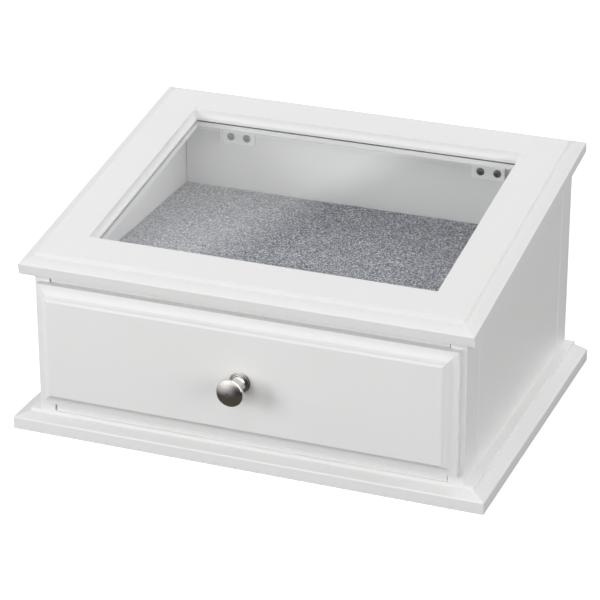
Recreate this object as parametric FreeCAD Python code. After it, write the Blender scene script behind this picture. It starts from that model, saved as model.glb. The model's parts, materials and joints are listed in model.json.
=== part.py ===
"""Jewellery chest: slanted glazed lid over a felt-lined tray, one drawer below, moulded plinth.

Frame: X to the chest's right, Y to the rear, Z up; origin on the floor at the plinth's centre.
Every dimension is in millimetres.
"""
import FreeCAD, Part
import math
import os

V = FreeCAD.Vector
X_AXIS = V(1, 0, 0)
Z_AXIS = V(0, 0, 1)

# ---------------------------------------------------------------- driving dimensions

# plinth board with a moulded edge on its front and two ends
plinth_w = 330.0
plinth_d = 239.0
plinth_edge_h = 8.8        # upright outer edge
plinth_round = 1.3         # rounding where the edge meets the sloping band
plinth_corner_r = 1.6      # upright front corners
plinth_band_z = 11.0       # height of the band at the foot of the small riser
plinth_step_z = 13.3       # flat on which the carcass stands
plinth_step_side = 9.5     # edge to riser at the ends
plinth_step_front = 8.8    # edge to riser at the front
plinth_step_round = 0.5
plinth_screw_len = 32.0
plinth_screw_end = 25.0    # carcass front or rear to the nearest screw
plinth_screw_head = 4.0    # radii
plinth_screw_shank = 2.0

# carcass
body_w = 297.0
body_front_setback = 9.8   # plinth front edge to the carcass front
side_t = 11.0
back_t = 7.8
housing = 4.0              # depth of every groove cut into the side panels
corner_seam_w = 0.7        # shadow seam down each inside corner at the back
corner_seam_in = 3.5
rail_setback = 1.0         # rails stand back from the side panels' front edges
rail_t = 11.0
tongue_in = 2.0            # shoulders of the rails' tongues
rail_gap = 0.6             # open joint at each end of a rail
floor_groove = 3.0         # tray floor into the top rail and the back
runner_w = 12.0
bottom_rail_top = 24.3
top_rail_bottom = 86.0
floor_bottom = 87.8
floor_t = 5.0
felt_t = 1.5
edge_round = 0.8
vee_w = 3.0                # the two upright V grooves on each side panel
vee_depth = 1.3
vee_front = 26.0           # carcass front to the front groove
vee_rear = 22.4            # carcass rear to the rear groove

# lid: a mitred frame, measured across the slope from its outer edge inwards
lid_angle = 9.17
lid_w = 311.4
lid_l = 248.0              # along the slope
lid_edge_y = 0.64          # front top edge, behind the plinth's front edge
lid_edge_z = 121.38
lid_edge_h = 7.85          # outer edge face
lid_edge_round = 0.8       # its upper and lower corners
field_h = 5.4              # raised field above the outer edge
band_in = 8.4              # sloping band, edge to the foot of the step
band_h = 2.6
step_in = 8.9
step_round = 0.7
window_in = 35.4           # outer edge to the top of the cove
cove_w = 2.8
lip_t = 1.7                # upright lip under the cove
rebate = 5.5               # how far the glass rebate reaches under the lip
glass_t = 2.0
glass_gap = 0.3
bead_reveal = 0.3          # bead stands back from the lip
bead_round = 1.2
brad_r = 0.6
brad_len = 12.0

# drawer
travel_gap = 1.0           # drawer side to side panel
drawer_side_t = 8.0
drawer_side_bottom = 25.3
drawer_side_top = 85.3
drawer_back_t = 8.0
drawer_back_top = 80.0
drawer_rear_gap = 10.0
drawer_groove = 3.5
drawer_bottom_z = 30.3
drawer_bottom_t = 3.0
drawer_felt_t = 1.5
front_w = 290.0
front_bottom = 20.8
front_top = 107.6
front_edge_t = 5.0         # thickness at the outer rim
front_t = 11.3             # thickness of the raised panel
border = 9.7               # rim to the raised panel
cove_in = 7.1              # rim to the quirk between cove and bead
cove_rise = 3.4
quirk = 0.4
housing_front = 5.0        # drawer sides housed in the back of the drawer front
dowel_r = 2.0
dowel_len = 22.0
dowel_in = 3.5             # dowel beyond the end of the side, into the front
dowel_z = (40.0, 72.0)

# knob
knob_r = 9.5
knob_base_r = 7.3
knob_len = 21.9
knob_x = 1.2               # knob's place off the drawer's middle
knob_rise = 0.7
knob_screw_r = 2.0
knob_screw_in = 9.0
knob_screw_head_r = 4.0
knob_screw_head_h = 2.4

# hinges
hinge_x = (-95.5, 91.5)
hinge_w = 25.0
leaf_t = 1.0
knuckle_r = 2.2
pin_r = 0.9
pin_clear = 0.05
fit_gap = 0.1              # round a leaf in its recess
knuckle_gap = 0.2
centre_knuckle = 8.6
leg_bottom = 128.6         # lower end of the leaf on the back panel's inner face
leg_screw_z = 133.7
leaf_screw_pitch = 12.2
lid_leaf_front = 221.0     # along the slope
body_leaf_from = 200.0     # along the slope, ahead of the back panel
lid_screw_s = 226.5
flange_d = 5.0             # turned-out outer end of the leg
flange_top = 143.0
head_r = 2.9
head_h = 0.9
shank_r = 1.2
cross_reach = 1.9
cross_w = 0.9
cross_from = -0.6         # floor of the cross recess, against the leaf's face
leg_screw_len = 7.6
lid_screw_len = 10.0

# cutting tools
tall = 170.0               # above every edge of the chest
far = 300.0                # past every edge of the chest
over = 10.0                # run-out of a tool past the wood

# ---------------------------------------------------------------- derived dimensions

half_d = plinth_d / 2.0
y_front = -half_d + body_front_setback
y_rear = half_d
y_inner_rear = y_rear - back_t
x_side = body_w / 2.0
x_inner = x_side - side_t
y_rail = y_front + rail_setback
y_rail_back = y_rail + rail_t
floor_top = floor_bottom + floor_t
felt_top = floor_top + felt_t
slope = math.radians(lid_angle)
lid_y0 = -half_d + lid_edge_y
underside = -lid_edge_h
pivot_y = y_rear + 0.3 + knuckle_r
pivot_h = underside - knuckle_gap - knuckle_r
pivot_s = (pivot_y - lid_y0 + pivot_h * math.sin(slope)) / math.cos(slope)
pivot_z = lid_edge_z + pivot_s * math.sin(slope) + pivot_h * math.cos(slope)
leaf_rear = pivot_s + 1.2
y_face = y_front - front_t
x_drawer = x_inner - travel_gap
y_drawer_rear = y_inner_rear - drawer_rear_gap
z_front = (front_bottom + front_top) / 2.0
z_knob = z_front + knob_rise
lip_in = window_in + cove_w

# ---------------------------------------------------------------- helpers


def box(x0, x1, y0, y1, z0, z1):
    """Axis-aligned block between two corners."""
    return Part.makeBox(x1 - x0, y1 - y0, z1 - z0, V(x0, y0, z0))


def to_lid(shape):
    """Carry a shape from the lid's own frame (x, along the slope, normal) to the chest."""
    shape = shape.copy()
    shape.rotate(V(0, 0, 0), X_AXIS, lid_angle)
    shape.translate(V(0, lid_y0, lid_edge_z))
    return shape


def below_lid():
    """Everything under the lid's underside plane."""
    return to_lid(box(-far, far, -far, far, underside - far, underside))


def face_of(edges):
    """Planar face from edges given in order."""
    return Part.Face(Part.Wire(edges))


def poly_edges(points):
    """Straight edges through the points, left open."""
    return [Part.LineSegment(a, b).toShape() for a, b in zip(points, points[1:])]


def curve(points):
    """Smooth edge through the points."""
    spline = Part.BSplineCurve()
    spline.interpolate(points)
    return spline.toShape()


def prism(points, vector):
    """Solid swept from a closed polygon."""
    return Part.Face(Part.makePolygon(points + [points[0]])).extrude(vector)


def round_edges(shape, radius, wanted):
    """Fillet the edges picked by a test on the edge."""
    return shape.makeFillet(radius, [e for e in shape.Edges if wanted(e)])


def upright(edge, x, y):
    """True for a straight vertical edge at the given place."""
    box_ = edge.BoundBox
    flat = box_.XLength < 0.01 and box_.YLength < 0.01
    return flat and abs(box_.XMin - x) < 0.02 and abs(box_.YMin - y) < 0.02


# ---------------------------------------------------------------- plinth


def plinth_screw_spots():
    """Three screws up into each side panel."""
    ys = (y_front + plinth_screw_end, (y_front + y_rear) / 2.0, y_rear - plinth_screw_end)
    return [(sx * (x_side - side_t / 2.0), y) for sx in (-1, 1) for y in ys]


def plinth_screw():
    """Countersunk wood screw, head flush with z = 0 and pointing up."""
    point = 3.0
    cone = Part.makeCone(plinth_screw_head, plinth_screw_shank, plinth_screw_head - plinth_screw_shank)
    body = Part.makeCylinder(plinth_screw_shank, plinth_screw_len - point)
    tip = Part.makeCone(plinth_screw_shank, 0.3, point, V(0, 0, plinth_screw_len - point))
    return cone.fuse([body, tip]).removeSplitter()


def cross_slot(reach, width, depth):
    """Cross recess cut from z = 0 upwards."""
    slot = Part.makeBox(2 * reach, width, depth, V(-reach, -width / 2.0, 0))
    return slot.fuse(Part.makeBox(width, 2 * reach, depth, V(-width / 2.0, -reach, 0)))


def make_plinth():
    w = plinth_w / 2.0
    slab = box(-w, w, -half_d, half_d, 0, plinth_edge_h)
    corners = [(-w, -half_d), (w, -half_d)]
    slab = round_edges(slab, plinth_corner_r, lambda e: any(upright(e, x, y) for x, y in corners))

    def top_edge(e):
        b = e.BoundBox
        level = abs(b.ZMin - plinth_edge_h) < 0.01 and abs(b.ZMax - plinth_edge_h) < 0.01
        return level and not (abs(b.YMin - half_d) < 0.01 and abs(b.YMax - half_d) < 0.01)

    slab = round_edges(slab, plinth_round, top_edge)
    lower = (w - plinth_round, -half_d + plinth_round, plinth_edge_h)
    upper = (w - plinth_step_side, -half_d + plinth_step_front, plinth_band_z)
    rings = []
    for x, y, z in (lower, upper):
        pts = [V(-x, y, z), V(x, y, z), V(x, half_d, z), V(-x, half_d, z)]
        rings.append(Part.makePolygon(pts + [pts[0]]))
    band = Part.makeLoft(rings, True, True)
    x, y, z = upper
    step = box(-x, x, y, half_d, plinth_edge_h - 1.0, plinth_step_z)
    step = round_edges(step, plinth_step_round, lambda e: abs(e.BoundBox.ZMin - plinth_step_z) < 0.01
                       and not (e.BoundBox.YMin > half_d - 0.01))
    board = slab.fuse([band, step]).removeSplitter()
    for sx, sy in plinth_screw_spots():
        screw = plinth_screw()
        screw.translate(V(sx, sy, 0))
        board = board.cut(screw)
    return board


def make_plinth_screws():
    screws = []
    for sx, sy in plinth_screw_spots():
        screw = plinth_screw().cut(cross_slot(2.2, 0.8, 1.4))
        screw.translate(V(sx, sy, 0))
        screws.append(screw)
    return Part.makeCompound(screws)


# ---------------------------------------------------------------- carcass


def make_side(sign):
    """Side panel: slanted top, rebated for the back, grooved for rails and tray floor."""
    xo = x_side
    xi = x_inner
    panel = box(xi, xo, y_front, y_rear, plinth_step_z, tall)
    spots = [(xo, y_front), (xi, y_front), (xo, y_rear)]
    panel = round_edges(panel, edge_round, lambda e: any(upright(e, x, y) for x, y in spots))
    panel = panel.common(below_lid())
    deep = xi + housing
    panel = panel.cut(box(xi - 1, deep, y_inner_rear, y_rear + 1, 0, tall))
    y0, y1 = y_rail + tongue_in, y_rail_back - tongue_in
    panel = panel.cut(box(xi - 1, deep, y0, y1, 0, bottom_rail_top - tongue_in))
    panel = panel.cut(box(xi - 1, deep, y0, y1, top_rail_bottom + tongue_in, tall))
    panel = panel.cut(box(xi - 1, deep, y_rail_back - floor_groove, y_rear + 1, floor_bottom, floor_top))
    for y in (y_front + vee_front, y_rear - vee_rear):
        pts = [V(xo + 0.2, y - vee_w / 2.0 - 0.2, 0), V(xo - vee_depth, y, 0)]
        pts.append(V(xo + 0.2, y + vee_w / 2.0 + 0.2, 0))
        panel = panel.cut(prism(pts, V(0, 0, tall)))
    for sx, sy in plinth_screw_spots():
        screw = plinth_screw()
        screw.translate(V(abs(sx), sy, 0))
        panel = panel.cut(screw)
    if sign < 0:
        panel = panel.mirror(V(0, 0, 0), X_AXIS)
    return panel


def make_top_rail():
    x = x_inner - rail_gap
    rail = box(-x, x, y_rail, y_rail_back, top_rail_bottom, tall)
    tongue_x = x_inner + housing
    tongue = box(-tongue_x, tongue_x, y_rail + tongue_in, y_rail_back - tongue_in,
                 top_rail_bottom + tongue_in, tall)
    rail = rail.fuse(tongue).removeSplitter().common(below_lid())
    groove = box(-far, far, y_rail_back - floor_groove, y_rail_back + 1, floor_bottom, floor_top)
    return rail.cut(groove)


def make_bottom_rail():
    x = x_inner - rail_gap
    rail = box(-x, x, y_rail, y_rail_back, plinth_step_z, bottom_rail_top)
    tongue_x = x_inner + housing
    tongue = box(-tongue_x, tongue_x, y_rail + tongue_in, y_rail_back - tongue_in,
                 plinth_step_z, bottom_rail_top - tongue_in)
    return rail.fuse(tongue).removeSplitter()


def make_back():
    xw = x_inner + housing
    panel = box(-xw, xw, y_inner_rear, y_rear, plinth_step_z, tall).common(below_lid())
    panel = panel.cut(box(-far, far, y_inner_rear - 1, y_inner_rear + floor_groove, floor_bottom, floor_top))
    for sign in (-1, 1):
        x0, x1 = sorted((sign * x_inner, sign * (x_inner - corner_seam_w)))
        panel = panel.cut(box(x0, x1, y_inner_rear - 1, y_inner_rear + corner_seam_in, floor_top, tall))
    for cx in hinge_x:
        w = hinge_w / 2.0 + fit_gap
        seat = underside - knuckle_gap - leaf_t
        notch = box(cx - w, cx + w, body_leaf_from, lid_l + over, seat, underside + over)
        panel = panel.cut(to_lid(notch))
        for screw in leg_screws(cx):
            panel = panel.cut(screw)
    return panel


def make_floor():
    xw = x_inner + housing
    return box(-xw, xw, y_rail_back - floor_groove, y_inner_rear + floor_groove, floor_bottom, floor_top)


def make_felt():
    return box(-x_inner, x_inner, y_rail_back, y_inner_rear, floor_top, felt_top)


def make_runner(sign):
    x0, x1 = sorted((sign * x_inner, sign * (x_inner - runner_w)))
    return box(x0, x1, y_rail_back, y_inner_rear, plinth_step_z, drawer_side_bottom)


# ---------------------------------------------------------------- lid


def rail_section():
    """Lid frame moulding; w runs inwards from the outer edge, h along the lid's normal."""
    def p(w, h):
        return V(0, w, h)

    r = lid_edge_round
    edges = poly_edges([p(lip_in - rebate, underside), p(r, underside)])
    edges.append(Part.Arc(p(r, underside), p(r * 0.29, underside + r * 0.29), p(0, underside + r)).toShape())
    edges += poly_edges([p(0, underside + r), p(0, -r)])
    edges.append(Part.Arc(p(0, -r), p(r * 0.31, -r * 0.27), p(r, 0.05)).toShape())
    edges += poly_edges([p(r, 0.05), p(band_in, band_h), p(step_in, field_h - step_round)])
    mid = p(step_in + step_round * 0.3, field_h - step_round * 0.28)
    edges.append(Part.Arc(p(step_in, field_h - step_round), mid, p(step_in + step_round, field_h)).toShape())
    edges += poly_edges([p(step_in + step_round, field_h), p(window_in, field_h)])
    cove = []
    for i in range(7):
        a = math.radians(90.0 * i / 6.0)
        cove.append(p(lip_in - cove_w * math.cos(a), field_h - field_h * math.sin(a)))
    edges.append(curve(cove))
    tail = [p(lip_in, 0), p(lip_in, -lip_t), p(lip_in - rebate, -lip_t), p(lip_in - rebate, underside)]
    edges += poly_edges(tail)
    return face_of(edges)


def bead_section():
    """Glazing bead under the glass, its inner upper corner rounded over."""
    a = lip_in - rebate
    b = lip_in - bead_reveal
    top = -lip_t - glass_t
    r = bead_round
    outline = [V(0, b, top - r), V(0, b, underside), V(0, a, underside), V(0, a, top), V(0, b - r, top)]
    edges = poly_edges(outline)
    mid = V(0, b - r * 0.29, top - r * 0.29)
    edges.append(Part.Arc(V(0, b - r, top), mid, V(0, b, top - r)).toShape())
    return face_of(edges)


RING = {"front": (0, lid_w), "rear": (180, lid_w), "left": (-90, lid_l), "right": (90, lid_l)}
RING_AT = {"front": V(0, 0, 0), "rear": V(0, lid_l, 0), "left": V(-lid_w / 2.0, lid_l / 2.0, 0),
           "right": V(lid_w / 2.0, lid_l / 2.0, 0)}


def place_ring(shape, side):
    """Put a front-facing ring piece on the named side, still in the lid's frame."""
    turn, _ = RING[side]
    shape = shape.copy()
    shape.rotate(V(0, 0, 0), Z_AXIS, turn)
    shape.translate(RING_AT[side])
    return shape


def ring_piece(side, section):
    """One mitred length of the frame or of the bead."""
    _, length = RING[side]
    half = length / 2.0
    bar = section.extrude(V(length, 0, 0))
    bar.translate(V(-half, 0, 0))
    deep = lip_in + over
    low = underside - over
    pts = [V(-half, 0, low), V(half, 0, low), V(half - deep, deep, low), V(-half + deep, deep, low)]
    return place_ring(bar.common(prism(pts, V(0, 0, field_h + over - low))), side)


def bead_pin_shapes(side):
    """Two brads through a bead into the frame member, in the lid's frame."""
    _, length = RING[side]
    pins = []
    for x in (-length / 4.0, length / 4.0):
        w = lip_in - bead_reveal
        h = (underside - lip_t - glass_t) / 2.0
        pin = Part.makeCylinder(brad_r, brad_len, V(x, w, h), V(0, -1, 0))
        pins.append(place_ring(pin, side))
    return pins


def make_lid_rail(side):
    rail = ring_piece(side, rail_section())
    for pin in bead_pin_shapes(side):
        rail = rail.cut(pin)
    if side == "rear":
        for cx in hinge_x:
            w = hinge_w / 2.0 + fit_gap
            mortise = box(cx - w, cx + w, lid_leaf_front - fit_gap, leaf_rear + fit_gap,
                          underside - 1, underside + leaf_t)
            rail = rail.cut(mortise)
            for screw in lid_leaf_screws(cx):
                rail = rail.cut(screw)
    return to_lid(rail)


def make_bead(side):
    bead = ring_piece(side, bead_section())
    for pin in bead_pin_shapes(side):
        bead = bead.cut(pin)
    return to_lid(bead)


def make_bead_pins():
    pins = []
    for side in RING:
        pins += bead_pin_shapes(side)
    return to_lid(Part.makeCompound(pins))


def make_glass():
    inset = lip_in - rebate + glass_gap
    x = lid_w / 2.0 - inset
    return to_lid(box(-x, x, inset, lid_l - inset, -lip_t - glass_t, -lip_t))


# ---------------------------------------------------------------- hinges


def small_screw(length, recess):
    """Raised-head screw lying on z = 0 with its shank pointing down."""
    ball_r = (head_r ** 2 + head_h ** 2) / (2.0 * head_h)
    ball = Part.makeSphere(ball_r, V(0, 0, head_h - ball_r))
    cap = ball.common(Part.makeCylinder(head_r, head_h + 0.2))
    sink = Part.makeCone(shank_r, head_r, leaf_t, V(0, 0, -leaf_t))
    shank = Part.makeCylinder(shank_r, length - 1.0, V(0, 0, -length + 1.0))
    tip = Part.makeCone(0.3, shank_r, 1.0, V(0, 0, -length))
    screw = cap.fuse([sink, shank, tip])
    if recess:
        cross = cross_slot(cross_reach, cross_w, head_h - cross_from)
        cross.translate(V(0, 0, cross_from))
        screw = screw.cut(cross)
    return screw


def leg_screws(cx, recess=False):
    """Two screws through the leg of a body leaf into the back panel."""
    out = []
    for dx in (-leaf_screw_pitch / 2.0, leaf_screw_pitch / 2.0):
        screw = small_screw(leg_screw_len, recess)
        screw.rotate(V(0, 0, 0), X_AXIS, 90)
        screw.translate(V(cx + dx, y_inner_rear - leaf_t, leg_screw_z))
        out.append(screw)
    return out


def lid_leaf_screws(cx, recess=False):
    """Two screws up through a lid leaf, in the lid's frame."""
    out = []
    for dx in (-leaf_screw_pitch / 2.0, leaf_screw_pitch / 2.0):
        screw = small_screw(lid_screw_len, recess)
        screw.rotate(V(0, 0, 0), X_AXIS, 180)
        screw.translate(V(cx + dx, lid_screw_s, underside))
        out.append(screw)
    return out


def barrel(cx, x0, x1, bore):
    """Knuckle between two offsets from the hinge's centre, in the lid's frame."""
    solid = Part.makeCylinder(knuckle_r, x1 - x0, V(cx + x0, pivot_s, pivot_h), X_AXIS)
    hole = Part.makeCylinder(bore, x1 - x0 + 2, V(cx + x0 - 1, pivot_s, pivot_h), X_AXIS)
    return solid, hole


def make_body_leaf(cx):
    """Leaf folded over the back panel's top: two knuckles behind, a leg down the inner face."""
    w = hinge_w / 2.0
    top = underside - knuckle_gap
    plate = box(cx - w, cx + w, body_leaf_from, pivot_s, top - leaf_t, top)
    half = centre_knuckle / 2.0 + knuckle_gap
    y0 = pivot_s - knuckle_r - 2 * knuckle_gap
    pocket = box(cx - half, cx + half, y0, pivot_s + over, top - over, top + over)
    plate = to_lid(plate.cut(pocket))
    plate = plate.common(box(-far, far, y_inner_rear - leaf_t, far, 0, far))
    leg = box(cx - w, cx + w, y_inner_rear - leaf_t, y_inner_rear, leg_bottom, tall)
    x0, x1 = sorted((cx + math.copysign(w, cx), cx + math.copysign(w - leaf_t, cx)))
    flange = box(x0, x1, y_inner_rear - flange_d, y_inner_rear, leg_bottom, flange_top)
    under = to_lid(box(-far, far, -far, far, top - far, top))
    leaf = plate.fuse([leg.common(under), flange])
    holes = []
    for x0, x1 in ((-w, -half), (half, w)):
        solid, hole = barrel(cx, x0, x1, pin_r)
        leaf = leaf.fuse(to_lid(solid))
        holes.append(to_lid(hole))
    leaf = leaf.removeSplitter()
    for tool in holes + leg_screws(cx):
        leaf = leaf.cut(tool)
    return leaf


def make_lid_leaf(cx):
    """Leaf let into the lid's underside with the centre knuckle under its rear end."""
    w = hinge_w / 2.0
    half = centre_knuckle / 2.0
    plate = box(cx - w, cx + w, lid_leaf_front, leaf_rear, underside, underside + leaf_t)
    web = box(cx - half, cx + half, pivot_s - 1.2, leaf_rear, pivot_h, underside + leaf_t)
    solid, hole = barrel(cx, -half, half, pin_r + pin_clear)
    leaf = plate.fuse([web, solid]).removeSplitter().cut(hole)
    for screw in lid_leaf_screws(cx):
        leaf = leaf.cut(screw)
    return to_lid(leaf)


def make_hinge_pin(cx):
    w = hinge_w / 2.0
    return to_lid(Part.makeCylinder(pin_r, hinge_w, V(cx - w, pivot_s, pivot_h), X_AXIS))


def make_leg_screws():
    return Part.makeCompound([s for cx in hinge_x for s in leg_screws(cx, True)])


def make_lid_leaf_screws():
    return to_lid(Part.makeCompound([s for cx in hinge_x for s in lid_leaf_screws(cx, True)]))


# ---------------------------------------------------------------- drawer


def front_border_section():
    """Waste outside the drawer front's rim moulding; u runs inwards, v back from the face."""
    def p(u, v):
        return V(u, v, 0)

    rise = front_t - front_edge_t
    bead_r = border - cove_in - quirk
    top_v = rise - cove_rise - quirk
    cove = []
    for i in range(7):
        a = math.radians(90.0 * i / 6.0)
        cove.append(p(cove_in * math.sin(a), rise - cove_rise * (1 - math.cos(a))))
    edges = [curve(cove)]
    edges += poly_edges([p(cove_in, rise - cove_rise), p(cove_in + quirk, top_v)])
    bead = []
    for i in range(6):
        a = math.radians(90.0 * i / 5.0)
        bead.append(p(cove_in + quirk + bead_r * (1 - math.cos(a)), top_v * (1 - math.sin(a))))
    edges.append(curve(bead))
    edges += poly_edges([p(border, 0), p(border, -2), p(-2, -2), p(-2, rise), p(0, rise)])
    return face_of(edges)


def make_drawer_front():
    """Overlay front: cove and bead around a raised flat panel."""
    w = front_w / 2.0
    h = (front_top - front_bottom) / 2.0
    slab = box(-w, w, y_face, y_front, front_bottom, front_top)
    section = front_border_section()
    for turn, half, reach in ((0, h, w), (90, w, h), (180, h, w), (270, w, h)):
        bar = section.extrude(V(0, 0, 2 * (half + over)))
        bar.translate(V(-reach, y_face, -half - over))
        deep = 2 * over
        pts = [V(-reach - 5, 0, -half - 5), V(-reach + deep, 0, -half + deep)]
        pts += [V(-reach + deep, 0, half - deep), V(-reach - 5, 0, half + 5)]
        wedge = prism(pts, V(0, front_t + 2 * over, 0))
        wedge.translate(V(0, y_face - over, 0))
        bar = bar.common(wedge)
        bar.rotate(V(0, 0, 0), V(0, 1, 0), turn)
        bar.translate(V(0, 0, z_front))
        slab = slab.cut(bar)
    for sx in (-1, 1):
        x0, x1 = sorted((sx * x_drawer, sx * (x_drawer - drawer_side_t)))
        slab = slab.cut(box(x0, x1, y_front - housing_front, y_front + 1,
                            drawer_side_bottom, drawer_side_top))
    x = x_drawer - drawer_side_t
    slab = slab.cut(box(-x, x, y_front - drawer_groove, y_front + 1, drawer_bottom_z,
                        drawer_bottom_z + drawer_bottom_t))
    bore = Part.makeCylinder(knob_screw_r, front_t + 2 * over, V(knob_x, y_face - over, z_knob), V(0, 1, 0))
    slab = slab.cut(bore)
    for dowel in dowel_shapes():
        slab = slab.cut(dowel)
    return slab


def dowel_shapes():
    """Two dowels from each drawer side into the drawer front."""
    out = []
    for sx in (-1, 1):
        for z in dowel_z:
            x = sx * (x_drawer - drawer_side_t / 2.0)
            start = V(x, y_front - housing_front - dowel_in, z)
            out.append(Part.makeCylinder(dowel_r, dowel_len, start, V(0, 1, 0)))
    return out


def make_drawer_side(sign):
    x0, x1 = sorted((sign * x_drawer, sign * (x_drawer - drawer_side_t)))
    side = box(x0, x1, y_front - housing_front, y_drawer_rear, drawer_side_bottom, drawer_side_top)
    x_in = x_drawer - drawer_side_t
    g0, g1 = sorted((sign * (x_in - 1), sign * (x_in + drawer_groove)))
    side = side.cut(box(g0, g1, y_front - over, y_drawer_rear - drawer_back_t + drawer_groove,
                        drawer_bottom_z, drawer_bottom_z + drawer_bottom_t))
    side = side.cut(box(g0, g1, y_drawer_rear - drawer_back_t, y_drawer_rear + 1,
                        drawer_side_bottom - 1, drawer_back_top))
    for dowel in dowel_shapes():
        side = side.cut(dowel)
    return side


def make_drawer_back():
    x = x_drawer - drawer_side_t + drawer_groove
    back = box(-x, x, y_drawer_rear - drawer_back_t, y_drawer_rear, drawer_side_bottom, drawer_back_top)
    return back.cut(box(-x - 1, x + 1, y_drawer_rear - drawer_back_t - 1,
                        y_drawer_rear - drawer_back_t + drawer_groove,
                        drawer_bottom_z, drawer_bottom_z + drawer_bottom_t))


def make_drawer_bottom():
    x = x_drawer - drawer_side_t + drawer_groove
    xf = x_drawer - drawer_side_t
    y1 = y_drawer_rear - drawer_back_t + drawer_groove
    z1 = drawer_bottom_z + drawer_bottom_t
    board = box(-x, x, y_front, y1, drawer_bottom_z, z1)
    return board.fuse(box(-xf, xf, y_front - drawer_groove, y_front, drawer_bottom_z, z1)).removeSplitter()


def make_drawer_felt():
    x = x_drawer - drawer_side_t
    z0 = drawer_bottom_z + drawer_bottom_t
    return box(-x, x, y_front, y_drawer_rear - drawer_back_t, z0, z0 + drawer_felt_t)


def make_knob():
    """Turned mushroom knob, its axis along Y and its foot on the drawer front."""
    foot = [(0, 0), (knob_base_r - 0.3, 0), (knob_base_r, 0.3), (knob_base_r, 1.2), (knob_base_r - 0.3, 1.5)]
    rings = [(6.7, 1.5), (6.7, 2.3), (6.4, 2.5), (5.8, 2.5), (5.8, 3.2), (5.5, 3.4), (4.9, 3.4)]
    neck = [(4.9, 3.4), (3.9, 5.2), (3.3, 7.4), (3.1, 9.4), (3.5, 11.4), (4.8, 13.2), (6.9, 14.8),
            (8.6, 15.9), (9.35, 16.8)]
    crown = [(9.35, 16.8), (knob_r, 17.5), (9.2, 18.5), (8.1, 19.7), (6.2, 20.8), (3.3, 21.7), (0, knob_len)]
    edges = poly_edges([V(r, -d, 0) for r, d in foot + rings])
    edges.append(curve([V(r, -d, 0) for r, d in neck]))
    edges.append(curve([V(r, -d, 0) for r, d in crown]))
    edges += poly_edges([V(0, -knob_len, 0), V(0, 0, 0)])
    knob = face_of(edges).revolve(V(0, 0, 0), V(0, 1, 0), 360)
    knob = knob.cut(Part.makeCylinder(knob_screw_r, knob_screw_in, V(0, 0, 0), V(0, -1, 0)))
    knob.translate(V(knob_x, y_face, z_knob))
    return knob


def make_knob_screw():
    y_top = y_front + knob_screw_head_h
    head = Part.makeCylinder(knob_screw_head_r, knob_screw_head_h, V(knob_x, y_front, z_knob), V(0, 1, 0))
    head = round_edges(head, 1.0, lambda e: abs(e.BoundBox.YMin - y_top) < 0.01)
    length = front_t + knob_screw_in
    shank = Part.makeCylinder(knob_screw_r, length, V(knob_x, y_front, z_knob), V(0, -1, 0))
    cross = cross_slot(2.2, 0.9, 1.4)
    cross.rotate(V(0, 0, 0), X_AXIS, 90)
    cross.translate(V(knob_x, y_top + 0.2, z_knob))
    return head.fuse(shank).cut(cross)


# ---------------------------------------------------------------- the parts

NODES = {
    "plinth": make_plinth,
    "plinth_screws": make_plinth_screws,
    "side_panel_left": lambda: make_side(-1),
    "side_panel_right": lambda: make_side(1),
    "back_panel": make_back,
    "top_rail": make_top_rail,
    "bottom_rail": make_bottom_rail,
    "tray_floor": make_floor,
    "tray_felt": make_felt,
    "runner_left": lambda: make_runner(-1),
    "runner_right": lambda: make_runner(1),
    "lid_rail_front": lambda: make_lid_rail("front"),
    "lid_rail_rear": lambda: make_lid_rail("rear"),
    "lid_rail_left": lambda: make_lid_rail("left"),
    "lid_rail_right": lambda: make_lid_rail("right"),
    "lid_glass": make_glass,
    "bead_front": lambda: make_bead("front"),
    "bead_rear": lambda: make_bead("rear"),
    "bead_left": lambda: make_bead("left"),
    "bead_right": lambda: make_bead("right"),
    "bead_pins": make_bead_pins,
    "hinge_left_body_leaf": lambda: make_body_leaf(hinge_x[0]),
    "hinge_left_lid_leaf": lambda: make_lid_leaf(hinge_x[0]),
    "hinge_left_pin": lambda: make_hinge_pin(hinge_x[0]),
    "hinge_right_body_leaf": lambda: make_body_leaf(hinge_x[1]),
    "hinge_right_lid_leaf": lambda: make_lid_leaf(hinge_x[1]),
    "hinge_right_pin": lambda: make_hinge_pin(hinge_x[1]),
    "hinge_body_screws": make_leg_screws,
    "hinge_lid_screws": make_lid_leaf_screws,
    "drawer_front": make_drawer_front,
    "drawer_side_left": lambda: make_drawer_side(-1),
    "drawer_side_right": lambda: make_drawer_side(1),
    "drawer_back": make_drawer_back,
    "drawer_bottom": make_drawer_bottom,
    "drawer_felt": make_drawer_felt,
    "drawer_dowels": lambda: Part.makeCompound(dowel_shapes()),
    "knob": make_knob,
    "knob_screw": make_knob_screw,
}

os.makedirs("parts", exist_ok=True)
for name, make in NODES.items():
    shape = make()
    shape.exportStep("parts/" + name + ".step")
    print(name, len(shape.Solids), "solids", round(shape.Volume, 1), "mm3", shape.isValid())
print("pivot y, z", round(pivot_y, 3), round(pivot_z, 3))
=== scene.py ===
"""Looks for the jewellery chest: white lacquer, felt, glass, steel and nickel, in a pale studio."""
import json
import math

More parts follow.
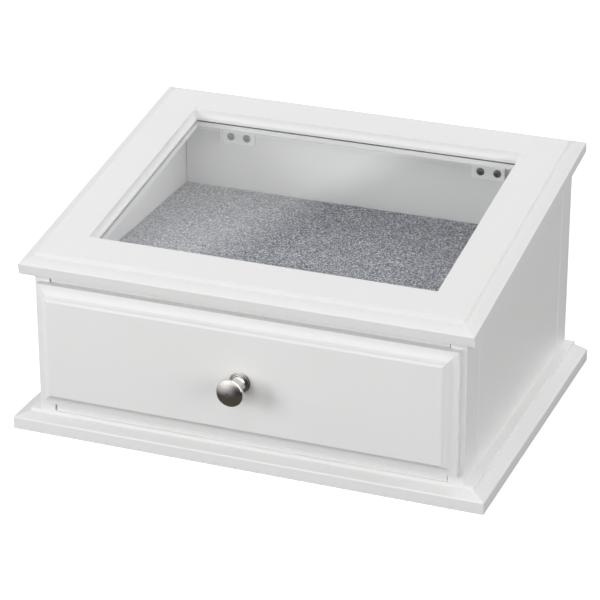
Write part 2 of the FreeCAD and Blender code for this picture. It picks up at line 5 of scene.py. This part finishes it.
import bpy
import numpy as np
from mathutils import Euler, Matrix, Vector


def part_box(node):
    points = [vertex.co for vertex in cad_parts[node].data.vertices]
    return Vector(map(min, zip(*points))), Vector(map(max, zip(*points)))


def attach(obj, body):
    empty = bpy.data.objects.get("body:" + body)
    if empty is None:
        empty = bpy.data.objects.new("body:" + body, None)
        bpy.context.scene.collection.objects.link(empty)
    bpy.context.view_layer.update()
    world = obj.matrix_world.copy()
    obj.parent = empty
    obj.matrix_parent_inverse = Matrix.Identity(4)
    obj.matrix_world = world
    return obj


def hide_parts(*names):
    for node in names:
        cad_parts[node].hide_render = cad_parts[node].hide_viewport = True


MM = 0.001
LID_UP = (0.0, -0.15937, 0.98722)      # the lid's normal when it is shut
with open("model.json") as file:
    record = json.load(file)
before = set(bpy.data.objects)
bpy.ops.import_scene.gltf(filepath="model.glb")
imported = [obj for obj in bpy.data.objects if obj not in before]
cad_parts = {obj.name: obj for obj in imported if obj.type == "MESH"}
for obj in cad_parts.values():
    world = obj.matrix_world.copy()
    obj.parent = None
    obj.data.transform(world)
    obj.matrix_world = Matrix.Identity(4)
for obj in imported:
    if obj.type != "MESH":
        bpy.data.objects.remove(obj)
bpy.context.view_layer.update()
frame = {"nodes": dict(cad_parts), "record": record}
nodes = frame["nodes"]

# ---------------------------------------------------------------- camera

CAMERA_PLACE = (0.58108, -1.49214, 0.80438)
CAMERA_TURN = (65.3741, 0.1215, 21.3989)
LENS = 156.255
SENSOR = 36.0


def make_camera():
    data = bpy.data.cameras.new("camera")
    data.lens = LENS
    data.sensor_width = SENSOR
    camera = bpy.data.objects.new("camera", data)
    camera.location = CAMERA_PLACE
    camera.rotation_euler = Euler([math.radians(a) for a in CAMERA_TURN], "XYZ")
    bpy.context.scene.collection.objects.link(camera)
    bpy.context.scene.camera = camera


# ---------------------------------------------------------------- material helpers

NOISE_REACH = (0.3, 0.7)               # where most of a noise's values lie
FULL = (0.0, 1.0)


class Shader:
    """A material's node tree with short ways to add nodes."""

    def __init__(self, name):
        self.mat = bpy.data.materials.new(name)
        self.mat.use_nodes = True
        self.nt = self.mat.node_tree
        self.nt.nodes.clear()
        self.out = self.nt.nodes.new("ShaderNodeOutputMaterial")
        self.coords = self.nt.nodes.new("ShaderNodeTexCoord").outputs["Object"]

    def put(self, socket, value):
        """Link a socket, or set a plain value."""
        if isinstance(value, bpy.types.NodeSocket):
            self.nt.links.new(value, socket)
        else:
            socket.default_value = value

    def node(self, kind, out=0, **values):
        """One output of a new node whose sockets take the values by name."""
        n = self.nt.nodes.new("ShaderNode" + kind)
        for key, value in values.items():
            self.put(n.inputs[key.replace("_", " ")], value)
        return n.outputs[out]

    def vector_math(self, operation, *values, out=0):
        n = self.nt.nodes.new("ShaderNodeVectorMath")
        n.operation = operation
        for socket, value in zip(n.inputs, values):
            self.put(socket, value)
        return n.outputs[out]

    def stretched(self, scale, turn=0.0, where=None):
        """Coordinates turned about Z and scaled along each axis."""
        return self.node("Mapping", Vector=where or self.coords, Rotation=(0, 0, turn), Scale=scale)

    def noise(self, per_mm, detail=2.0, rough=0.5, where=None, distort=0.0, out=0):
        """Noise with about that many features in each millimetre."""
        return self.node("TexNoise", out, Vector=where or self.coords, Scale=per_mm / MM,
                         Detail=detail, Roughness=rough, Distortion=distort)

    def ramp(self, value, stops):
        """Colour ramp from (position, colour) pairs."""
        n = self.nt.nodes.new("ShaderNodeValToRGB")
        self.put(n.inputs[0], value)
        elements = n.color_ramp.elements
        while len(elements) < len(stops):
            elements.new(0.5)
        for element, (at, colour) in zip(elements, stops):
            element.position = at
            element.color = (*colour, 1)
        return n.outputs[0]

    def span(self, value, to, start=NOISE_REACH):
        """Map the range start onto the range to."""
        n = self.nt.nodes.new("ShaderNodeMapRange")
        for socket, v in zip(n.inputs, (value, *start, *to)):
            self.put(socket, v)
        return n.outputs[0]

    def mix(self, share, a, b):
        n = self.nt.nodes.new("ShaderNodeMix")
        n.data_type = "RGBA"
        for socket, v in ((n.inputs[0], share), (n.inputs[6], a), (n.inputs[7], b)):
            self.put(socket, (*v, 1) if isinstance(v, tuple) else v)
        return n.outputs[2]

    def bump(self, height, depth_mm, under=None):
        """Bump whose height of 1 stands that many millimetres proud."""
        n = self.nt.nodes.new("ShaderNodeBump")
        n.inputs["Distance"].default_value = depth_mm * MM
        self.put(n.inputs["Height"], height)
        if under is not None:
            self.put(n.inputs["Normal"], under)
        return n.outputs[0]

    def surface(self, **values):
        self.put(self.out.inputs["Surface"], self.node("BsdfPrincipled", **values))


# ---------------------------------------------------------------- materials

# pairs of near shades that a finish drifts between
LACQUER = (0.768, 0.768, 0.764), (0.776, 0.776, 0.773)
HINGE_PAINT = (0.86, 0.86, 0.86), (0.90, 0.90, 0.895)
STEEL = (0.30, 0.30, 0.31), (0.44, 0.44, 0.44)
NICKEL = (0.70, 0.675, 0.65), (0.76, 0.735, 0.71)
# the bead's pair is painted shade, for the shadowed seam where a bead meets the glass
BEAD_PAINTED_SHADE = (0.03, 0.03, 0.028), (0.06, 0.058, 0.05)

LACQUER_SPECK = (0.60, 0.59, 0.57)
WOOD_PORE = (0.33, 0.21, 0.12)
FELT_CLOUD = (0.25, 0.265, 0.295)
GLASS_SHADOW = (0.92, 0.92, 0.92, 1)   # how much light its shadow lets through
LACQUER_IOR = GLASS_IOR = 1.5

# places along a ramp, and the tones there
WOOD_TONES = [(0.30, (0.47, 0.32, 0.19)), (0.52, (0.60, 0.44, 0.28)), (0.72, (0.70, 0.54, 0.37))]
FELT_TONES = [(0.39, (0.040, 0.042, 0.049)), (0.46, (0.165, 0.173, 0.193)),
              (0.53, (0.355, 0.371, 0.408)), (0.60, (0.84, 0.862, 0.91))]

FELT_STRANDS = (0.2, 1.25, 2.3)        # the ways the strands lie, in radians about Z
FELT_BEND = 1.6 * MM                   # how far the strands wander
BEAD_SHADE_TURN = (0.55, 0.62)               # cosines to the lid's normal between which the painted shade on a bead sets in


def white_paint():
    """Satin white lacquer on smooth board, with a faint orange peel and a few specks."""
    s = Shader("white_paint")
    tone = s.mix(s.span(s.noise(0.008), FULL, start=(0.35, 0.65)), *LACQUER)
    speck = s.span(s.noise(2.2, detail=1.0), (0.0, 0.05), start=(0.72, 0.80))
    tone = s.mix(speck, tone, LACQUER_SPECK)
    peel = s.bump(s.noise(0.35, detail=1.0), depth_mm=0.012)
    grain = s.bump(s.noise(3.0), depth_mm=0.003, under=peel)
    rough = s.span(s.noise(0.12, detail=3.0), (0.36, 0.44))
    s.surface(Base_Color=tone, Roughness=rough, Normal=grain, IOR=LACQUER_IOR)
    return s.mat


def hinge_white():
    """Glossier white paint, lightly pitted."""
    s = Shader("hinge_white")
    tone = s.mix(s.noise(0.4, detail=3.0), *HINGE_PAINT)
    pit = s.bump(s.noise(2.5), depth_mm=0.01)
    s.surface(Base_Color=tone, Roughness=s.span(s.noise(0.8), (0.26, 0.36)), Normal=pit)
    return s.mat


def bare_wood():
    """Pale close-grained wood, its grain along X."""
    s = Shader("bare_wood")
    streak = s.noise(0.25, detail=4.0, rough=0.6, where=s.stretched((0.06, 1.0, 1.0)), distort=0.6)
    pores = s.noise(3.0, rough=0.6, where=s.stretched((0.05, 1.0, 1.0)))
    tone = s.ramp(streak, WOOD_TONES)
    tone = s.mix(s.span(pores, (0.0, 0.45), start=(0.58, 0.72)), tone, WOOD_PORE)
    s.surface(Base_Color=tone, Roughness=s.span(streak, (0.55, 0.7)),
              Normal=s.bump(pores, depth_mm=-0.03))
    return s.mat


def felt():
    """Needled felt of pale, mid and dark fibres."""
    s = Shader("felt")
    wander = s.noise(0.4, detail=1.0, out=1)
    bent = s.vector_math("MULTIPLY_ADD", wander, (FELT_BEND,) * 3, s.coords)
    laid = [s.noise(0.9, rough=0.7, where=s.stretched((0.6, 1.5, 1.0), turn, bent))
            for turn in FELT_STRANDS]
    strands = s.mix(0.5, s.mix(0.5, laid[0], laid[1]), laid[2])
    fibres = s.mix(0.6, strands, s.noise(0.95, rough=0.75))
    cloud = s.span(s.noise(0.07), (0.0, 0.15), start=(0.35, 0.65))
    tone = s.mix(cloud, s.ramp(fibres, FELT_TONES), FELT_CLOUD)
    s.surface(Base_Color=tone, Roughness=0.95, Normal=s.bump(fibres, depth_mm=0.30),
              Sheen_Weight=0.2, Sheen_Roughness=0.5, Specular_IOR_Level=0.15)
    return s.mat


def glass():
    """Clear glass with faint smears, which lets light through as if it were thin."""
    s = Shader("glass")
    smear = s.span(s.noise(0.02, detail=3.0), (0.0, 0.012), start=(0.4, 0.7))
    solid = s.node("BsdfPrincipled", Base_Color=(1, 1, 1, 1), Transmission_Weight=1.0,
                   IOR=GLASS_IOR, Roughness=smear)
    clear = s.node("BsdfTransparent", Color=GLASS_SHADOW)
    mixed = s.nt.nodes.new("ShaderNodeMixShader")
    for socket, v in zip(mixed.inputs, (s.node("LightPath", "Is Shadow Ray"), solid, clear)):
        s.put(socket, v)
    s.put(s.out.inputs["Surface"], mixed.outputs[0])
    return s.mat


def steel():
    """Dull steel, its fine grain drawn out along Y and Z."""
    s = Shader("steel")
    brushed = s.noise(2.0, detail=3.0, rough=0.6, where=s.stretched((1.0, 0.2, 0.2)))
    s.surface(Base_Color=s.mix(brushed, *STEEL), Metallic=1.0,
              Roughness=s.span(brushed, (0.30, 0.42)), Normal=s.bump(brushed, depth_mm=0.01))
    return s.mat


def nickel():
    """Polished nickel with a slight haze."""
    s = Shader("nickel")
    haze = s.noise(0.3, detail=4.0)
    s.surface(Base_Color=s.mix(haze, *NICKEL), Metallic=1.0,
              Roughness=s.span(haze, (0.07, 0.11)), Normal=s.bump(s.noise(1.2), depth_mm=0.003))
    return s.mat


def bead_with_painted_shade():
    """The same lacquer with painted shade, dark and dull, where the bead's rounding turns up to the glass:
    it stands in for the shadowed seam there.
    """
    s = Shader("bead_with_painted_shade")
    facing = s.vector_math("DOT_PRODUCT", s.node("TexCoord", "Normal"), LID_UP, out="Value")
    # painted shade: the bead goes dark where its rounding turns up towards the glass
    painted_shade = s.span(facing, FULL, start=BEAD_SHADE_TURN)
    fine = s.noise(0.8, detail=3.0)
    tone = s.mix(s.span(fine, FULL), *LACQUER)
    s.surface(Base_Color=s.mix(painted_shade, tone, s.mix(fine, *BEAD_PAINTED_SHADE)),
              Roughness=s.span(painted_shade, (0.40, 0.85), start=FULL),
              Normal=s.bump(fine, depth_mm=0.006), IOR=LACQUER_IOR)
    return s.mat


SLOTS = {"white_paint": white_paint, "hinge_white": hinge_white, "bare_wood": bare_wood,
         "felt": felt, "glass": glass, "steel": steel, "nickel": nickel}
finishes = {name: make() for name, make in SLOTS.items()}
for part in frame["record"]["subparts"]:
    data = nodes[part["node"]].data
    data.materials.clear()
    data.materials.append(finishes[part["material_slot"]])

# the beads take the lacquer with its painted shade line along the glass
bead_painted_shade_finish = bead_with_painted_shade()
for side in ("front", "rear", "left", "right"):
    nodes["bead_" + side].data.materials[0] = bead_painted_shade_finish

# ---------------------------------------------------------------- felt linings

FELT_CELL = 1.3 * MM                   # side of a mesh cell
FELT_INSET = 0.25 * MM                 # cutting gap on every side
FELT_ROUND = 0.5 * MM                  # rounding of the cut upper edge
FELT_SINK = 0.25 * MM                  # how far the nap's mean lies under the solid's top
FELT_LUMPS = ((24, 0.10), (9, 0.08), (3, 0.07), (1, 0.06))     # cells across, millimetres deep
FELT_RISE = (-0.5 * MM, 0.35 * MM)     # the deepest dip and the highest lump
LUMP_LIMIT = 2                         # in standard deviations


def ease(t):
    """Smooth step from 0 to 1."""
    return t * t * (3 - 2 * t)


def felt_lining(node, body, seed):
    """A cut sheet of felt in the place of its CAD solid: lumpy nap above, soft cut edges."""
    low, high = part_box(node)
    rng = np.random.default_rng(seed)
    low, high = np.array(low), np.array(high)
    size = high - low - 2 * FELT_INSET * np.array((1, 1, 0))
    nx, ny = (int(round(v / FELT_CELL)) for v in size[:2])
    xs = low[0] + FELT_INSET + np.linspace(0, size[0], nx + 1)
    ys = low[1] + FELT_INSET + np.linspace(0, size[1], ny + 1)
    gx, gy = np.meshgrid(xs, ys)
    edge = np.minimum.reduce([gx - xs[0], xs[-1] - gx, gy - ys[0], ys[-1] - gy])
    dip = FELT_ROUND * np.clip(1 - edge / FELT_ROUND, 0, 1) ** 2
    lumps = np.zeros_like(gx)
    for cell, depth in FELT_LUMPS:
        coarse = rng.standard_normal((ny // cell + 3, nx // cell + 3))
        jy, jx = np.arange(ny + 1) / cell, np.arange(nx + 1) / cell
        iy, ix = jy.astype(int), jx.astype(int)
        fy, fx = ease((jy - iy)[:, None]), ease((jx - ix)[None, :])
        near, far = coarse[iy], coarse[iy + 1]
        part = (near[:, ix] * (1 - fy) * (1 - fx) + far[:, ix] * fy * (1 - fx)
                + near[:, ix + 1] * (1 - fy) * fx + far[:, ix + 1] * fy * fx)
        lumps += depth * MM * np.clip(part, -LUMP_LIMIT, LUMP_LIMIT)
    top = high[2] - FELT_SINK + np.clip(lumps, *FELT_RISE) - dip
    bottom = np.full_like(gx, low[2])
    verts = np.concatenate([np.stack([gx, gy, z], -1).reshape(-1, 3) for z in (top, bottom)])
    under = (nx + 1) * (ny + 1)
    grid = np.arange(under).reshape(ny + 1, nx + 1)
    a, b, c, d = grid[:-1, :-1], grid[:-1, 1:], grid[1:, 1:], grid[1:, :-1]
    faces = [np.stack([a, b, c, d], -1).reshape(-1, 4),
             np.stack([d, c, b, a], -1).reshape(-1, 4) + under]
    rim = np.concatenate([grid[0, :], grid[1:, -1], grid[-1, -2::-1], grid[-2:0:-1, 0]])
    after = np.roll(rim, -1)
    faces.append(np.stack([rim + under, after + under, after, rim], -1))
    mesh = bpy.data.meshes.new(node + "_cloth")
    mesh.from_pydata(verts.tolist(), [], np.concatenate(faces).tolist())
    mesh.polygons.foreach_set("use_smooth", [True] * len(mesh.polygons))
    mesh.materials.append(finishes["felt"])
    piece = bpy.data.objects.new(node + "_cloth", mesh)
    bpy.context.scene.collection.objects.link(piece)
    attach(piece, body)
    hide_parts(node)


felt_lining("tray_felt", "chest", 11)
felt_lining("drawer_felt", "drawer", 12)

# ---------------------------------------------------------------- studio

FLOOR_HALF = 12.0
FLOOR_WHITE = (0.97, 0.97, 0.97), (0.98, 0.98, 0.98)
FLOOR_GLOW = 0.40
FLOOR_FADE = (0.5, 2.0)                # metres from the middle over which it fades to plain white
AIM = Vector((0, 0, 0.08))
LIGHT_DISTANCE = 2.0
LIGHT_SIZE = 0.8

# name, degrees round from the front towards +X, degrees up, watts
LIGHTS = [
    ("key", -40, 18, 16.1),
    ("left", -80, 18, 10.0),
    ("front", 0, 18, 12.5),
    ("right", 54, 18, 9.2),
    ("side", 90, 18, 13.0),
    ("over_front", 0, 45, 3.4),
    ("back_left", -135, 45, 1.6),
    ("back_right", 135, 45, 8.5),
    ("back", 180, 45, 9.5),
]


def make_floor():
    """Pale floor that neither shows in gloss nor lights the chest from below."""
    mesh = bpy.data.meshes.new("floor")
    h = FLOOR_HALF
    mesh.from_pydata([(-h, -h, 0), (h, -h, 0), (h, h, 0), (-h, h, 0)], [], [(0, 1, 2, 3)])
    floor = bpy.data.objects.new("floor", mesh)
    bpy.context.scene.collection.objects.link(floor)
    s = Shader("floor")
    away = s.vector_math("LENGTH", s.coords, out="Value")
    s.surface(Base_Color=s.mix(s.noise(0.002), *FLOOR_WHITE), Roughness=0.9,
              Specular_IOR_Level=0.1, Emission_Color=(1, 1, 1, 1),
              Emission_Strength=s.span(away, (FLOOR_GLOW, 1.0), start=FLOOR_FADE))
    mesh.materials.append(s.mat)
    floor.visible_glossy = floor.visible_diffuse = False


def area_light(name, around, up, watts):
    """A square lamp aimed at the chest, hidden from the eye, from gloss and through the glass."""
    data = bpy.data.lights.new(name, "AREA")
    data.shape = "SQUARE"
    data.size = LIGHT_SIZE
    data.energy = watts
    light = bpy.data.objects.new(name, data)
    a, e = math.radians(around), math.radians(up)
    out = Vector((math.sin(a) * math.cos(e), -math.cos(a) * math.cos(e), math.sin(e)))
    light.location = AIM + out * LIGHT_DISTANCE
    light.rotation_euler = (-out).to_track_quat("-Z", "Y").to_euler()
    light.visible_camera = light.visible_glossy = light.visible_transmission = False
    bpy.context.scene.collection.objects.link(light)


def reflector(name, points, glow):
    """A glowing card with one soft edge that shows only in reflections."""
    mesh = bpy.data.meshes.new(name)
    mesh.from_pydata(points, [], [(0, 1, 3, 2), (2, 3, 5, 4)])
    fade = mesh.attributes.new("glow", "FLOAT", "POINT")
    fade.data.foreach_set("value", [0.0, 0.0, glow, glow, glow, glow])
    card = bpy.data.objects.new(name, mesh)
    bpy.context.scene.collection.objects.link(card)
    s = Shader(name)
    level = s.nt.nodes.new("ShaderNodeAttribute")
    level.attribute_name = "glow"
    glowing = s.node("Emission", Color=(1, 1, 1, 1), Strength=level.outputs["Fac"])
    s.put(s.out.inputs["Surface"], glowing)
    mesh.materials.append(s.mat)
    card.visible_camera = card.visible_diffuse = False
    card.visible_shadow = card.visible_transmission = False


# what gloss mirrors, by height (sine of the elevation): at the front left, and the front right
LEFT_GLOW = [(-0.49, 0.09), (-0.42, 0.16), (-0.34, 0.24), (-0.17, 0.50), (0.0, 0.67),
             (0.17, 0.94), (0.34, 1.15), (0.5, 1.25), (0.64, 1.42), (1.0, 1.30)]
RIGHT_GLOW = [(-0.49, 0.085), (-0.34, 0.062), (-0.17, 0.05), (0.0, 0.062), (0.17, 0.10),
              (0.34, 0.195), (0.5, 0.35), (0.64, 0.80), (0.82, 1.0), (1.0, 1.20)]
GLOW_LIMIT = 2.0                       # a colour ramp holds 1 at most, so it holds glow as a share of this

# where the mirrored studio changes: degrees round from the front towards +X, or heights as above
LEFT_TO_RIGHT = (-45, 30)
WINDOW_SIDE = (62, 72)
WINDOW_SILL = (-0.05, 0.1)
WINDOW_GLOW = 1.1
REAR_SIDE = (112, 132)
REAR_TOP = (0.75, 0.92)
REAR_GLOW = 0.03
GROUND_EDGE = (-0.48, -0.42)
GROUND_TINT = (1.0, 0.87, 0.70, 1)

# the even light on matt surfaces, and the heights over which it changes
AMBIENT_UP = 0.10
AMBIENT_DOWN = 0.15
HORIZON = (-0.05, 0.05)
WHITE = (1, 1, 1, 1)


def make_world():
    """White to the eye, even light to matt surfaces, and to gloss a studio with a window."""
    world = bpy.data.worlds.new("studio")
    bpy.context.scene.world = world
    world.use_nodes = True
    nt = world.node_tree
    nt.nodes.clear()

    def node(kind, *values):
        n = nt.nodes.new("ShaderNode" + kind)
        for socket, value in zip(n.inputs, values):
            if isinstance(value, bpy.types.NodeSocket):
                nt.links.new(value, socket)
            else:
                socket.default_value = value
        return n

    def math_node(operation, *values):
        n = node("Math", *values)
        n.operation = operation
        return n.outputs[0]

    def slope(value, start, to_low, to_high):
        n = node("MapRange", value, *start, to_low, to_high)
        n.interpolation_type = "SMOOTHSTEP"
        return n.outputs[0]

    def turned(value, degrees, to_low, to_high):
        return slope(value, [math.radians(a) for a in degrees], to_low, to_high)

    def by_height(stops):
        n = node("ValToRGB", math_node("MULTIPLY_ADD", height, 0.5, 0.5))
        ramp = n.color_ramp
        while len(ramp.elements) < len(stops):
            ramp.elements.new(0.5)
        for element, (z, glow) in zip(ramp.elements, stops):
            element.position = (z + 1) / 2
            element.color = (*(glow / GLOW_LIMIT,) * 3, 1)
        return math_node("MULTIPLY", n.outputs[0], GLOW_LIMIT)

    def mix(factor, a, b):
        return math_node("MULTIPLY_ADD", math_node("SUBTRACT", b, a), factor, a)

    way = node("SeparateXYZ", nt.nodes.new("ShaderNodeTexCoord").outputs["Generated"]).outputs
    height = way[2]
    around = math_node("ARCTAN2", way[0], math_node("MULTIPLY", way[1], -1.0))
    front = mix(turned(around, LEFT_TO_RIGHT, 0.0, 1.0), by_height(LEFT_GLOW),
                by_height(RIGHT_GLOW))
    window = math_node("MULTIPLY", turned(around, WINDOW_SIDE, 0.0, WINDOW_GLOW),
                       slope(height, WINDOW_SILL, 0.0, 1.0))
    rear = math_node("MULTIPLY", turned(math_node("ABSOLUTE", around), REAR_SIDE, 0.0, 1.0),
                     slope(height, REAR_TOP, 1.0, 0.0))
    mirrored = mix(rear, math_node("ADD", front, window), REAR_GLOW)
    tint = node("Mix", slope(height, GROUND_EDGE, 1.0, 0.0))
    tint.data_type = "RGBA"
    tint.inputs[6].default_value = WHITE
    tint.inputs[7].default_value = GROUND_TINT
    path = nt.nodes.new("ShaderNodeLightPath").outputs
    ambient = node("Background", WHITE, slope(height, HORIZON, AMBIENT_DOWN, AMBIENT_UP)).outputs[0]
    shine = node("Background", tint.outputs[2], mirrored).outputs[0]
    white = node("Background", WHITE, 1.0).outputs[0]
    lit = node("MixShader", path["Is Glossy Ray"], ambient, shine).outputs[0]
    seen = node("MixShader", path["Is Camera Ray"], lit, white).outputs[0]
    nt.links.new(seen, node("OutputWorld").inputs[0])


VEIL_GLOW = 1.85
# pairs of points across the card: its dark edge, where it is fully bright, its far side
VEIL = [(0.178, 1.624, 0.930),
        (-1.204, 0.559, 1.374),
        (0.156, 1.640, 0.901),
        (-1.226, 0.576, 1.345),
        (-0.32, 1.994, 0.265),
        (-1.702, 0.929, 0.709)]

make_camera()
make_floor()
make_world()
for spec in LIGHTS:
    area_light(*spec)
reflector("veil", VEIL, VEIL_GLOW)
bpy.context.scene.view_settings.view_transform = "Standard"
